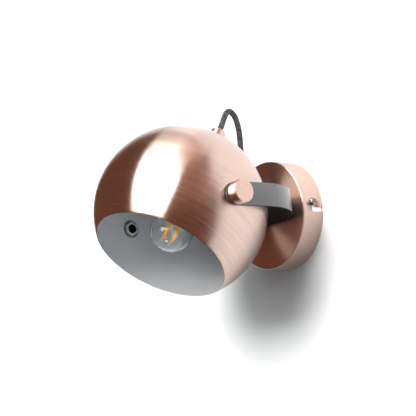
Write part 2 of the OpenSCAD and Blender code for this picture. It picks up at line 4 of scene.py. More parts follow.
import bmesh
import bpy
from mathutils import Matrix, Vector
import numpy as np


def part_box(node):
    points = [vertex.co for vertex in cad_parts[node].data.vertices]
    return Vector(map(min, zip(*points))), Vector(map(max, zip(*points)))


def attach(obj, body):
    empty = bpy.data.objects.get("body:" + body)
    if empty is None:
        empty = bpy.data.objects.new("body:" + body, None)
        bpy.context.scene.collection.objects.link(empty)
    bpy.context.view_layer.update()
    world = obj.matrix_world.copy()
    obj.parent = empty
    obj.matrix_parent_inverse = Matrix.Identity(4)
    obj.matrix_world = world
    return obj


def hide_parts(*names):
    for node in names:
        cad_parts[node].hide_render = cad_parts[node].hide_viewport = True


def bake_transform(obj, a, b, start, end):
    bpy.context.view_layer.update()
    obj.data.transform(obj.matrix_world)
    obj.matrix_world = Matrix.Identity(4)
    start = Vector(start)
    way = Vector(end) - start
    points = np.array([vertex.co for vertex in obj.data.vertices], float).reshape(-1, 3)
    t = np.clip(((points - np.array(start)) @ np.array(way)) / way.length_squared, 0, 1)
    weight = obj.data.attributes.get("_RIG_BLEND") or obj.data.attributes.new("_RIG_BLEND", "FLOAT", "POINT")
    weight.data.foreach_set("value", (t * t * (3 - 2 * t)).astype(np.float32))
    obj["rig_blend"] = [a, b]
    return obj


# The frame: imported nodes, joints, and the sizes that the pieces here follow, all in metres
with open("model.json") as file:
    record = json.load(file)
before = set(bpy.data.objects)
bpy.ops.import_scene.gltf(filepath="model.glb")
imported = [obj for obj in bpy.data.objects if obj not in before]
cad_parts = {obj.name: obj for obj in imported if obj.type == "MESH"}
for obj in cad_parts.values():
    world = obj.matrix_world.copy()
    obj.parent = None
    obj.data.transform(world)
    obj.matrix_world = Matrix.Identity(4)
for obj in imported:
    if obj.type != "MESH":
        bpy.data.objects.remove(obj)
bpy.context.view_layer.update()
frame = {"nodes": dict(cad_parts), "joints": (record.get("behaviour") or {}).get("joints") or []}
nodes = frame["nodes"]
joint_at = {joint["name"]: Vector(joint["pos_m"]) for joint in frame["joints"]}
MM = 0.001

pivot = joint_at["shade_tilt"]
shade_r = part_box("shade")[1].x
shade_wall = 0.8 * MM
opening_r = 70.5 * MM
tilt_down = math.radians(55)
canopy_low, canopy_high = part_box("canopy_cup")
canopy_r = canopy_high.x
canopy_depth = -canopy_low.y
canopy_wall = 1 * MM
nipple_r = 5 * MM
nipple_bore_r = 4 * MM
cord_r = 3.35 * MM
knob_l = 11 * MM
knob_r = 12 * MM
knob_x = joint_at["near_knob_turn"].x
nipple_hole_r = nipple_r + 0.05 * MM
globe_z = shade_r - 114 * MM
yarn_w = 1.25 * MM
thread_pitch = 1 * MM
thread_depth = 0.5 * MM

# Limits: from how many degrees an edge is sharp, and how near points lie on a plane or on one spot
sharp_edge = 35
on_plane = 1e-7
one_spot = 1e-6

# Each round piece is made on its own +Z axis and set in one of these places
place_shade = Matrix.Translation(pivot) @ Matrix.Rotation(tilt_down - math.pi / 2, 4, "X")
place_near = Matrix.Translation(pivot) @ Matrix.Rotation(math.pi / 2, 4, "Y")
place_far = Matrix.Translation(pivot) @ Matrix.Rotation(-math.pi / 2, 4, "Y")
place_wall = Matrix.Rotation(math.pi / 2, 4, "X")


# Directions and camera

def towards(azimuth, elevation):
    """A direction in degrees: turned from straight out of the wall towards +X, and raised."""
    azimuth, elevation = math.radians(azimuth), math.radians(elevation)
    return Vector((math.sin(azimuth) * math.cos(elevation), -math.cos(azimuth) * math.cos(elevation),
                   math.sin(elevation)))


def add_camera():
    """The camera, fitted to the outline of the lamp in the photograph."""
    roll = math.radians(-6.08)
    target = Vector((-3.073, -105.289, 6.355)) * MM
    distance = 1.8
    back = towards(50.894, -10.54)
    right = Vector((0, 0, 1)).cross(back).normalized()
    up = back.cross(right)
    across = right * math.cos(roll) + up * math.sin(roll)
    upward = up * math.cos(roll) - right * math.sin(roll)
    data = bpy.data.cameras.new("camera")
    data.sensor_width = 36
    data.lens = 148.909
    camera = bpy.data.objects.new("camera", data)
    turn = Matrix((across, upward, back)).transposed().to_4x4()
    camera.matrix_world = Matrix.Translation(target + back * distance) @ turn
    bpy.context.scene.collection.objects.link(camera)
    bpy.context.scene.camera = camera


# Mesh helpers

def add_object(bm, name, place, materials, sharp=sharp_edge):
    """Ends a piece: sets it in its place, with the object itself at the origin."""
    bm.transform(place)
    for face in bm.faces:
        face.smooth = True
    mesh = bpy.data.meshes.new(name)
    bm.to_mesh(mesh)
    bm.free()
    mesh.set_sharp_from_angle(angle=math.radians(sharp))
    for material in materials:
        mesh.materials.append(material)
    piece = bpy.data.objects.new(name, mesh)
    bpy.context.scene.collection.objects.link(piece)
    return piece


def rounded(corners, closed=True, steps=5):
    """Points of an outline whose corners (x, y, radius) are rounded by short arcs."""
    points = []
    least_share = 2.1
    for i, (x, y, radius) in enumerate(corners):
        here = Vector((x, y))
        if radius == 0 or (not closed and i in (0, len(corners) - 1)):
            points.append(here)
            continue
        before = Vector(corners[i - 1][:2]) - here
        after = Vector(corners[(i + 1) % len(corners)][:2]) - here
        half = before.angle(after) / 2
        reach = min(radius / math.tan(half), before.length / least_share, after.length / least_share)
        middle = (before.normalized() + after.normalized()).normalized()
        centre = here + middle * (reach / math.cos(half))
        start = here + before.normalized() * reach - centre
        turn = start.angle_signed(here + after.normalized() * reach - centre)
        points += [centre + Matrix.Rotation(-turn * k / steps, 2) @ start for k in range(steps + 1)]
    return points


def arc(radius, first, last, steps):
    """Points of an arc about the origin, from the angle first to the angle last off the axis."""
    angles = [first + (last - first) * k / steps for k in range(steps + 1)]
    return [Vector((radius * math.sin(a), radius * math.cos(a))) for a in angles]


def spin_outline(points, steps=96, closed=True):
    """A bmesh turned about +Z from the points (radius, height) of half an outline."""
    bm = bmesh.new()
    verts = [bm.verts.new((p[0], 0, p[1])) for p in points]
    for a, b in zip(verts, verts[1:] + (verts[:1] if closed else [])):
        if a.co.x > on_plane or b.co.x > on_plane:
            bm.edges.new((a, b))
    bmesh.ops.spin(bm, geom=bm.verts[:] + bm.edges[:], cent=(0, 0, 0), axis=(0, 0, 1),
                   dvec=(0, 0, 0), angle=2 * math.pi, steps=steps, use_merge=True)
    bmesh.ops.remove_doubles(bm, verts=bm.verts, dist=one_spot)
    bmesh.ops.dissolve_degenerate(bm, edges=bm.edges, dist=on_plane)
    bmesh.ops.recalc_face_normals(bm, faces=bm.faces)
    return bm


def spun(name, corners, place, materials, steps=96, closed=True):
    """A finished round piece, turned from half an outline with rounded corners."""
    return add_object(spin_outline(rounded(corners, closed), steps, closed), name, place, materials)


def settle(piece, body, slot, *replaced):
    """Ties a finished piece to its body and hides the nodes that it stands for. The slot is not used."""
    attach(piece, body)
    if replaced:
        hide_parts(*replaced)
    return piece


def joined(pieces, name):
    """Several finished pieces of one material as one mesh."""
    bm = bmesh.new()
    for piece in pieces:
        bm.from_mesh(piece.data)
    material = pieces[0].data.materials[0]
    for piece in pieces:
        bpy.data.objects.remove(piece)
    return add_object(bm, name, Matrix.Identity(4), [material])


def split_along_x(bm, x):
    """Cuts a mesh's faces, edges included, along the plane at x."""
    bmesh.ops.bisect_plane(bm, geom=bm.verts[:] + bm.edges[:] + bm.faces[:], dist=on_plane,
                           plane_co=(x, 0, 0), plane_no=(1, 0, 0))


def softened(node, body, slot, material, width):
    """A node's own shape with its corners merged and its sharp edges rounded by width."""
    flat = math.radians(0.5)
    bm = bmesh.new()
    bm.from_mesh(nodes[node].data)
    bmesh.ops.remove_doubles(bm, verts=bm.verts, dist=2 * one_spot)
    bmesh.ops.dissolve_limit(bm, angle_limit=flat, verts=bm.verts, edges=bm.edges)
    sharp = [e for e in bm.edges if len(e.link_faces) == 2 and e.calc_face_angle() > math.radians(sharp_edge)]
    bmesh.ops.bevel(bm, geom=sharp, affect="EDGES", offset=width, offset_type="OFFSET", segments=2,
                    profile=0.5, material=-1, clamp_overlap=True)
    bmesh.ops.triangulate(bm, faces=[f for f in bm.faces if len(f.verts) > 4])
    piece = add_object(bm, node + "_finished", Matrix.Identity(4), [material])
    return settle(piece, body, slot, node)


def add_friction_washers(metal, rubber):
    """Dished washers, with a rubber face bonded on against the shade."""
    piece = softened("friction_washers", "shade", "zinc_steel", metal, 0.15 * MM)
    piece.data.materials.append(rubber)
    metal_thick = 0.4 * MM
    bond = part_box("friction_washers")[1].x - metal_thick
    bm = bmesh.new()
    bm.from_mesh(piece.data)
    for side in (-1, 1):
        split_along_x(bm, side * bond)
    for face in bm.faces:
        face.material_index = 1 if abs(face.calc_center_median().x) < bond else 0
    bm.to_mesh(piece.data)
    bm.free()
    piece.data.set_sharp_from_angle(angle=math.radians(sharp_edge))


def cut(piece, cutters):
    """Takes the cutters' shapes out of a piece, then removes them."""
    for cutter in cutters:
        modifier = piece.modifiers.new("cut", "BOOLEAN")
        modifier.operation = "DIFFERENCE"
        modifier.solver = "EXACT"
        modifier.object = cutter
    evaluated = piece.evaluated_get(bpy.context.evaluated_depsgraph_get())
    mesh = bpy.data.meshes.new_from_object(evaluated)
    piece.modifiers.clear()
    piece.data = mesh
    for cutter in cutters:
        bpy.data.objects.remove(cutter)


def rod(place, radius, low, high):
    """A plain cutter along +Z of a place."""
    outline = [(0, low, 0), (radius, low, 0), (radius, high, 0), (0, high, 0)]
    return spun("cutter", outline, place, [], 64, closed=False)


# Materials

def new_material(name, color, roughness, metallic=0, **sockets):
    """A Principled material; sockets are named with underscores for spaces."""
    material = bpy.data.materials.new(name)
    material.use_nodes = True
    shader = material.node_tree.nodes["Principled BSDF"]
    shader.inputs["Base Color"].default_value = (*color, 1)
    shader.inputs["Roughness"].default_value = roughness
    shader.inputs["Metallic"].default_value = metallic
    for socket, value in sockets.items():
        shader.inputs[socket.replace("_", " ")].default_value = value
    return material


def add_node(tree, kind, inputs=None, **settings):
    """A shader node with its settings, each input a plain value or another node's output."""
    node = tree.nodes.new(kind)
    for key, value in settings.items():
        setattr(node, key, value)
    for key, value in (inputs or {}).items():
        if isinstance(value, bpy.types.NodeSocket):
            tree.links.new(value, node.inputs[key])
        else:
            node.inputs[key].default_value = value
    return node


def math_node(tree, operation, a, b=0.0):
    """The value that a sum gives."""
    return add_node(tree, "ShaderNodeMath", {0: a, 1: b}, operation=operation).outputs[0]


def vector_node(tree, operation, a, b=(0, 0, 0)):
    """The vector that a sum of vectors gives."""
    return add_node(tree, "ShaderNodeVectorMath", {0: a, 1: b}, operation=operation).outputs[0]


def spread_node(tree, value, low, high, first, last):
    """Spreads a value from low to high over first to last."""
    return add_node(tree, "ShaderNodeMapRange", {0: value, 1: low, 2: high, 3: first, 4: last}).outputs[0]


def color_node(tree, mask, first, second):
    """Mixes two colours by a mask."""
    return add_node(tree, "ShaderNodeMix", {0: mask, 6: (*first, 1), 7: (*second, 1)},
                    data_type="RGBA").outputs[2]


def bump_node(tree, height, distance, strength):
    """The normal over a surface raised by a height."""
    return add_node(tree, "ShaderNodeBump", {"Height": height, "Distance": distance,
                                             "Strength": strength}).outputs[0]


def link_surface(tree, color, roughness, normal):
    """Ties a material's colour, roughness and normal to its shader, apart from those that are None."""
    shader = tree.nodes["Principled BSDF"]
    for key, value in (("Base Color", color), ("Roughness", roughness), ("Normal", normal)):
        if value is not None:
            tree.links.new(value, shader.inputs[key])


def new_group(name, inputs, outputs):
    """A shared node group with float inputs {name: default}, one vector input, and float outputs."""
    group = bpy.data.node_groups.new(name, "ShaderNodeTree")
    group.interface.new_socket("Vector", in_out="INPUT", socket_type="NodeSocketVector")
    for key, value in inputs.items():
        socket = group.interface.new_socket(key, in_out="INPUT", socket_type="NodeSocketFloat")
        socket.default_value = value
    for key in outputs:
        group.interface.new_socket(key, in_out="OUTPUT", socket_type="NodeSocketFloat")
    return group, group.nodes.new("NodeGroupInput"), group.nodes.new("NodeGroupOutput")


def brush_marks_group():
    """Fine marks in rings about +Z. Ball is 1 on a ball and 0 on a disc or tube; sizes are in metres."""
    settings = {"Ball": 0, "Radius": 90 * MM, "Mark": 1.2 * MM}
    group, inputs, outputs = new_group("brush_marks", settings, ["Marks"])
    parts = add_node(group, "ShaderNodeSeparateXYZ", {0: inputs.outputs["Vector"]}).outputs
    flat = add_node(group, "ShaderNodeCombineXYZ", {0: parts[0], 1: parts[1]}).outputs[0]
    radius = add_node(group, "ShaderNodeVectorMath", {0: flat}, operation="LENGTH").outputs["Value"]
    around = vector_node(group, "NORMALIZE", flat)
    angle = math_node(group, "ARCTAN2", parts[2], radius)
    latitude = math_node(group, "MULTIPLY", angle, inputs.outputs["Radius"])
    plain = math_node(group, "ADD", radius, parts[2])
    along = add_node(group, "ShaderNodeMix", {0: inputs.outputs["Ball"], 2: plain, 3: latitude}).outputs[0]
    fine = math_node(group, "DIVIDE", along, inputs.outputs["Mark"])
    turned = add_node(group, "ShaderNodeSeparateXYZ", {0: around}).outputs
    reach = 0.7
    x, y = (math_node(group, "MULTIPLY", turned[k], reach) for k in (0, 1))
    spot = add_node(group, "ShaderNodeCombineXYZ", {0: x, 1: y, 2: fine}).outputs[0]
    noise = add_node(group, "ShaderNodeTexNoise", {"Vector": spot, "Scale": 1.0, "Detail": 4.0,
                                                   "Roughness": 0.75}).outputs[0]
    group.links.new(spread_node(group, noise, 0.35, 0.65, 0.0, 1.0), outputs.inputs["Marks"])
    return group


def brushed_copper(name, place, ball, marks_group, mark=1.3, roughness=0.3, anisotropy=1.0,
                   contrast=0.07, bump=0.3, coat=0.8, tone=(0.80, 0.60, 0.52)):
    """Copper plate brushed in rings about the piece's own axis, under a thin lacquer. Marks are in mm."""
    material = new_material(name, tone, roughness, 1, Anisotropic=anisotropy, Anisotropic_Rotation=0.25,
                            Coat_Weight=coat, Coat_Roughness=0.2)
    tree = material.node_tree
    at = add_node(tree, "ShaderNodeTexCoord").outputs["Object"]
    centre = place.to_translation()
    moved = {"Vector": at, "Location": centre, "Rotation": place.to_euler()}
    centred = add_node(tree, "ShaderNodeMapping", moved, vector_type="TEXTURE").outputs[0]
    values = {"Vector": centred, "Ball": ball, "Mark": mark * MM}
    marks = add_node(tree, "ShaderNodeGroup", values, node_tree=marks_group).outputs["Marks"]
    dark, light = (tuple(c + step for c in tone) for step in (-contrast, contrast))
    color = color_node(tree, marks, dark, light)
    rough = spread_node(tree, marks, 0.0, 1.0, roughness - contrast / 4, roughness + contrast / 4)
    groove_depth = 0.005 * MM
    link_surface(tree, color, rough, bump_node(tree, marks, groove_depth, bump))
    axis = place.to_3x3() @ Vector((0, 0, 1))
    ring = vector_node(tree, "CROSS_PRODUCT", axis, vector_node(tree, "SUBTRACT", at, centre))
    brushed_way = add_node(tree, "ShaderNodeVectorTransform", {0: vector_node(tree, "NORMALIZE", ring)},
                           vector_type="VECTOR", convert_from="OBJECT", convert_to="WORLD").outputs[0]
    tree.links.new(brushed_way, tree.nodes["Principled BSDF"].inputs["Tangent"])
    return material


def fine_grain_group():
    """A fine even grain; its scale is in grains to the metre."""
    group, inputs, outputs = new_group("fine_grain", {"Scale": 600}, ["Grain"])
    values = {"Vector": inputs.outputs["Vector"], "Scale": inputs.outputs["Scale"], "Detail": 3.0}
    noise = add_node(group, "ShaderNodeTexNoise", values).outputs[0]
    group.links.new(noise, outputs.inputs["Grain"])
    return group


def grain_material(grain_group, name, color, roughness, metallic=0, scale=600, depth=0.02, spread=0.08,
                   **sockets):
    """A finish with a fine even grain in its tone, roughness and surface. The grain's depth is in mm."""
    material = new_material(name, color, roughness, metallic, **sockets)
    tree = material.node_tree
    at = add_node(tree, "ShaderNodeTexCoord").outputs["Object"]
    values = {"Vector": at, "Scale": scale}
    grain = add_node(tree, "ShaderNodeGroup", values, node_tree=grain_group).outputs["Grain"]
    dark = tuple(c * (1 - spread) for c in color)
    light = tuple(min(1, c * (1 + spread)) for c in color)
    step = 0.04
    rough = spread_node(tree, grain, 0.3, 0.7, roughness - step, roughness + step)
    link_surface(tree, color_node(tree, grain, dark, light), rough, bump_node(tree, grain, depth * MM, 0.6))
    return material


def braid_material():
    """Textile sheath: two sets of yarn that cross over and under, dark grey with lighter flecks, with painted
    shade between the yarns and on the yarn that lies under.
    """
    material = new_material("textile_braid", (0.05, 0.045, 0.047), 0.85, Sheen_Weight=0.05)
    tree = material.node_tree
    uv = add_node(tree, "ShaderNodeUVMap", uv_map="braid").outputs[0]
    parts = add_node(tree, "ShaderNodeSeparateXYZ", {0: uv}).outputs
    right = math_node(tree, "ADD", parts[0], parts[1])
    left = math_node(tree, "SUBTRACT", parts[0], parts[1])
    right_yarn, left_yarn = (math_node(tree, "FLOOR", a) for a in (right, left))
    crossing = math_node(tree, "ABSOLUTE", math_node(tree, "ADD", right_yarn, left_yarn))
    over = math_node(tree, "MODULO", crossing, 2.0)
    inside = [math_node(tree, "PINGPONG", a, 0.5) for a in (right, left)]
    crown = math_node(tree, "MULTIPLY", math_node(tree, "MULTIPLY", *inside), 4.0)
    key = add_node(tree, "ShaderNodeCombineXYZ", {0: right_yarn, 1: left_yarn}).outputs[0]
    chance = add_node(tree, "ShaderNodeTexWhiteNoise", {"Vector": key}, noise_dimensions="3D").outputs
    fleck = spread_node(tree, chance["Value"], 0.55, 0.95, 0.0, 0.9)
    tone = color_node(tree, fleck, (0.024, 0.02, 0.02), (0.2, 0.188, 0.192))
    # Painted shade: the tone is darker between the yarns' crowns and where a yarn lies under the other
    shade = math_node(tree, "MULTIPLY", spread_node(tree, crown, 0.0, 0.8, 0.35, 1.1),
                      spread_node(tree, over, 0.0, 1.0, 0.8, 1.1))
    color = add_node(tree, "ShaderNodeVectorMath", {0: tone, "Scale": shade}, operation="SCALE").outputs[0]
    link_surface(tree, color, None, bump_node(tree, crown, 0.2 * MM, 0.8))
    return material


# Tubes along a route: the cord's textile sheath and the wires

def smooth_route(points, per_piece):
    """More points on one smooth curve through the given ones."""
    ends = [points[0] * 2 - points[1], *points, points[-1] * 2 - points[-2]]
    curve = []
    for a, b, c, d in zip(ends, ends[1:], ends[2:], ends[3:]):
        for k in range(per_piece):
            t = k / per_piece
            curve.append(0.5 * (2 * b + (c - a) * t + (2 * a - 5 * b + 4 * c - d) * t * t
                                + (3 * b - a - 3 * c + d) * t ** 3))
    return curve + [points[-1]]


def swept(curve, radius, sides):
    """A closed tube along a curve, whose points keep how far around, along and in which ring they are."""
    bm = bmesh.new()
    around, along, ring_of = (bm.verts.layers.float.new(name) for name in ("around", "along", "ring"))
    tangents = [(b - a).normalized() for a, b in zip(curve, curve[1:])]
    between = [(a + b).normalized() for a, b in zip(tangents, tangents[1:])]
    tangents = [tangents[0], *between, tangents[-1]]
    turn = Vector((0, 0, 1)).rotation_difference(tangents[0]).to_matrix()
    for vert in bmesh.ops.create_circle(bm, segments=sides, radius=radius)["verts"]:
        vert[around] = math.atan2(vert.co.y, vert.co.x) / (2 * math.pi) % 1.0
        vert.co = turn @ vert.co + curve[0]
    edges = bm.edges[:]
    travelled = 0
    for i in range(1, len(curve)):
        travelled += (curve[i] - curve[i - 1]).length
        made = bmesh.ops.extrude_edge_only(bm, edges=edges)["geom"]
        edges = [g for g in made if isinstance(g, bmesh.types.BMEdge)]
        turn = tangents[i - 1].rotation_difference(tangents[i]).to_matrix()
        for vert in (g for g in made if isinstance(g, bmesh.types.BMVert)):
            vert.co = turn @ (vert.co - curve[i - 1]) + curve[i]
            vert[along] = travelled
            vert[ring_of] = i
    bmesh.ops.holes_fill(bm, edges=[e for e in bm.edges if e.is_boundary], sides=sides)
    bmesh.ops.recalc_face_normals(bm, faces=bm.faces)
    return bm


def map_yarns(bm, count, yarn):
    """Maps a tube in yarns: so many around it, and one per yarn width along it."""
    around, along = (bm.verts.layers.float[name] for name in ("around", "along"))
    map_layer = bm.loops.layers.uv.new("braid")
    for face in bm.faces:
        turns = [loop.vert[around] for loop in face.loops]
        wraps = max(turns) - min(turns) > 0.5 and len(turns) == 4
        for loop, turned in zip(face.loops, turns):
            turned += 1.0 if wraps and turned < 0.5 else 0.0
            loop[map_layer].uv = (turned * count, loop.vert[along] / yarn)


def press_between_yarns(bm, curve, radius, count, yarn, relief):
    """Presses a tube's surface in where two yarns meet, and leaves their crowns at the full radius."""
    around, along, ring_of = (bm.verts.layers.float[name] for name in ("around", "along", "ring"))
    for vert in bm.verts:
        centre = curve[round(vert[ring_of])]
        a = vert[around] * count
        b = vert[along] / yarn
        crown = 4 * abs((a + b + 0.5) % 1 - 0.5) * abs((a - b + 0.5) % 1 - 0.5)
        vert.co = centre + (vert.co - centre) * (1 - relief * (1 - crown) / radius)


def tube(name, curve, radius, sides, material, relief=None, yarn=1.0):
    """A closed tube along a curve; with a relief it is braided from yarns of the given width."""
    bm = swept(curve, radius, sides)
    count = max(1, round(2 * math.pi * radius / yarn)) if relief else 1
    map_yarns(bm, count, yarn)
    if relief:
        press_between_yarns(bm, curve, radius, count, yarn, relief)
    return add_object(bm, name, Matrix.Identity(4), [material], sharp=80)


# Routes in mm. The cord's starts at the gland, and each wire's at the end of the cord's tail
cord_route = [(0, -81.9, 89.5), (0, -78.5, 94.4), (-0.2, -75, 100.5), (-0.8, -71.2, 106.5),
              (-2, -67, 111.4), (-3.8, -61.6, 114.1), (-5.6, -55.8, 112.6), (-7.2, -51, 108),
              (-8.6, -47.8, 102), (-9.5, -46, 95), (-9.9, -45.4, 87), (-9.8, -45.9, 79),
              (-9, -46.9, 69), (-7.6, -47.8, 58), (-5.6, -48.4, 47), (-3.4, -48.6, 36),
              (-1.4, -48.6, 25), (-0.3, -48.3, 16), (0, -46.9, 8), (0, -43.6, 2.8),
              (0, -39.8, 0.5), (0, -36, 0)]
live_route = [(0.5, -17.9, -1.8), (0.4, -15, -3.2), (0, -12, -6), (0, -9.5, -10),
              (0, -7.9, -14), (0, -7.6, -18.5)]
neutral_route = [(1.8, -17.9, 1), (4.2, -15, 0.6), (7.4, -12, -3), (8.8, -9.8, -8),
                 (9, -7.8, -13.5), (9, -7.6, -18.5)]
earth_route = [(-1.8, -17.9, 1), (-4, -15, 2), (-7, -12.2, 3), (-10, -9.6, 2.6),
               (-12.2, -7, 1), (-13, -4.1, 0)]


def add_supply_cord(material):
    """The free cord, from the gland on the shade to the bush in the bow."""
    points = [Vector(p) * MM for p in cord_route]
    curve = smooth_route(points, 14)
    piece = tube("textile_cord", curve, cord_r, 48, material, relief=0.2 * MM, yarn=yarn_w)
    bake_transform(piece, "bow", "shade", start=(0, -0.047, 0.05), end=(0, -0.075, 0.101))
    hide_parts("supply_cord")


def add_wires(grain):
    """The live, neutral and earth wires inside the canopy."""
    wire_r = 1.1 * MM
    wires = {"live_wire": (live_route, (0.16, 0.055, 0.02), "brown_wire"),
             "neutral_wire": (neutral_route, (0.03, 0.10, 0.42), "blue_wire"),
             "earth_wire": (earth_route, (0.12, 0.32, 0.03), "green_wire")}
    for node, (route, color, slot) in wires.items():
        material = grain_material(grain, slot, color, 0.4, scale=900, spread=0.1)
        curve = smooth_route([Vector(p) * MM for p in route], 8)
        settle(tube(node + "_finished", curve, wire_r, 20, material), "base", slot, node)


def add_inner_cord(node, body, first, last, stretches, material):
    """A straight stretch of cord that no side shows."""
    ends = [first + (last - first) * k / stretches for k in range(stretches + 1)]
    piece = tube(node + "_finished", smooth_route(ends, 8), cord_r, 40, material, 0.25 * MM, yarn_w)
    settle(piece, body, "textile_cord", node)


def add_inner_cords(material):
    """The cord's stretches inside the stem and behind the bush."""
    stem_low, stem_high = 45.6 * MM, 109 * MM
    add_inner_cord("stem_cord", "shade", place_shade @ Vector((0, 0, stem_low)),
                   place_shade @ Vector((0, 0, stem_high)), 12, material)
    tail_low, tail_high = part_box("cord_tail")
    add_inner_cord("cord_tail", "bow", Vector((0, tail_low.y, 0)), Vector((0, tail_high.y, 0)), 4, material)


# Copper pieces

def add_shade(copper, paint):
    """Spun ball shell, copper outside and white paint inside, with a hole through it at the pivots."""
    inner_r = shade_r - shade_wall
    open_angle = math.pi - math.asin(opening_r / shade_r)
    rim_z = shade_r * math.cos(open_angle)
    inner_angle = math.acos(rim_z / inner_r)
    rim_round = 0.2 * MM / shade_r
    rim_step = 0.12 * MM
    rows = 110
    outer = arc(shade_r, math.asin(nipple_hole_r / shade_r), open_angle - rim_round, rows)
    rim = [Vector((opening_r - rim_step, rim_z)), Vector((inner_r * math.sin(inner_angle) + rim_step, rim_z))]
    inner = arc(inner_r, inner_angle - rim_round, math.asin(nipple_hole_r / inner_r), rows)
    bm = spin_outline(outer + rim + inner, 224)
    painted_r = shade_r - 0.6 * shade_wall
    for face in bm.faces:
        face.material_index = 1 if face.calc_center_median().length < painted_r else 0
    piece = add_object(bm, "ball_shade", place_shade, [copper, paint], sharp=50)
    cut(piece, [rod(place_near, nipple_hole_r, -2 * shade_r, 2 * shade_r)])
    settle(piece, "shade", "brushed_copper", "shade")


def add_knob(name, place, copper, body, node):
    """Round clamp knob with a blind hole for its nipple."""
    hole_top = knob_l - 4 * MM
    corners = [(nipple_hole_r, 0, 0), (knob_r, 0, 0.4 * MM), (knob_r, knob_l, 0.9 * MM), (0, knob_l, 0),
               (0, hole_top, 0), (nipple_hole_r, hole_top, 0)]
    seat = place @ Matrix.Translation((0, 0, knob_x))
    settle(spun(name, corners, seat, [copper], 128), body, "brushed_copper", node)


def add_gland(copper):
    """Stepped cord gland on the shade's pole, with a rounded top."""
    gland_r, gland_h = 8.25 * MM, 19 * MM
    lip = 1.8 * MM
    mouth_r = cord_r + 0.2 * MM
    socket_top = 9.2 * MM
    corners = [(nipple_hole_r, 0, 0), (gland_r, 0, 0.2 * MM), (gland_r, gland_h, 1.8 * MM),
               (mouth_r, gland_h, 0.3 * MM), (mouth_r, gland_h - lip, 0), (nipple_bore_r, gland_h - lip, 0),
               (nipple_bore_r, socket_top, 0), (nipple_hole_r, socket_top, 0)]
    seat = place_shade @ Matrix.Translation((0, 0, shade_r))
    settle(spun("gland", corners, seat, [copper]), "shade", "brushed_copper", "cord_gland")


def bayonet_cutters():
    """The two L-shaped slots of the canopy, each from two boxes and two round ends."""
    depth, width, travel, rise = 12.4 * MM, 4.4 * MM, 7.9 * MM, 3.2 * MM
    reach = 10 * MM
    past_edge = 1 * MM
    entry = rise - travel
    cutters = []
    for side in (0, math.pi):
        place = Matrix.Rotation(side, 4, "Y") @ Matrix.Translation((canopy_r, 0, 0))
        legs = [((-past_edge, entry - width / 2), (depth, entry + width / 2)),
                ((depth - width / 2, entry), (depth + width / 2, rise))]
        for (near, low), (far, high) in legs:
            bm = bmesh.new()
            bmesh.ops.create_cube(bm, size=1)
            bmesh.ops.scale(bm, vec=(reach, far - near, high - low), verts=bm.verts)
            bmesh.ops.translate(bm, vec=(0, -(near + far) / 2, (low + high) / 2), verts=bm.verts)
            cutters.append(add_object(bm, "cutter", place, []))
        for level in (entry, rise):
            spot = place @ Matrix.Translation((0, -depth, level)) @ Matrix.Rotation(math.pi / 2, 4, "Y")
            cutters.append(rod(spot, width / 2, -reach / 2, reach / 2))
    return cutters


def add_canopy(copper, bare):
    """Spun cup with a small radius at its front edge, open at the wall; bare metal inside."""
    inner_r = canopy_r - canopy_wall
    inner_h = canopy_depth - canopy_wall
    front_round, wall_round, inner_round = 1.6 * MM, 0.2 * MM, 0.6 * MM
    corners = [(nipple_hole_r, canopy_depth, 0), (canopy_r, canopy_depth, front_round),
               (canopy_r, 0, wall_round), (inner_r, 0, wall_round),
               (inner_r, inner_h, inner_round), (nipple_hole_r, inner_h, 0)]
    bm = spin_outline(rounded(corners, steps=8), 256)
    for face in bm.faces:
        spot = face.calc_center_median()
        inside = spot.z < inner_h + canopy_wall / 2 and Vector(spot.xy).length < inner_r + canopy_wall / 2
        face.material_index = 1 if inside else 0
    piece = add_object(bm, "canopy", place_wall, [copper, bare], sharp=30)
    cut(piece, bayonet_cutters())
    settle(piece, "base", "brushed_copper", "canopy_cup")


# Bow: a painted strip with round ends, bent round the back of the shade

def flat_strip(half, width, thick, edge_round):
    """The strip before it is bent: round ends, rounded edges, and its inner side and edges on material 1, the
    painted shade.
    """
    bm = bmesh.new()
    bmesh.ops.create_circle(bm, cap_ends=True, segments=96, radius=width / 2)
    for vert in bm.verts:
        vert.co.x += math.copysign(half, vert.co.x) if abs(vert.co.x) > one_spot else half
    for vert in bm.verts:
        vert.co.z = -thick / 2
    made = bmesh.ops.extrude_face_region(bm, geom=bm.faces[:])["geom"]
    top = [g for g in made if isinstance(g, bmesh.types.BMVert)]
    bmesh.ops.translate(bm, vec=(0, 0, thick), verts=top)
    bmesh.ops.recalc_face_normals(bm, faces=bm.faces)
    level = [e for e in bm.edges if abs(e.verts[0].co.z - e.verts[1].co.z) < one_spot]
    rim = [e for e in level if e.calc_face_angle() > math.radians(sharp_edge)]
    bmesh.ops.bevel(bm, geom=rim, affect="EDGES", offset=edge_round, offset_type="OFFSET", segments=3,
                    profile=0.5, material=-1, clamp_overlap=True)
    bm.normal_update()
    for face in bm.faces:
        face.material_index = 0 if face.normal.z > 0.9 else 1
    return bm


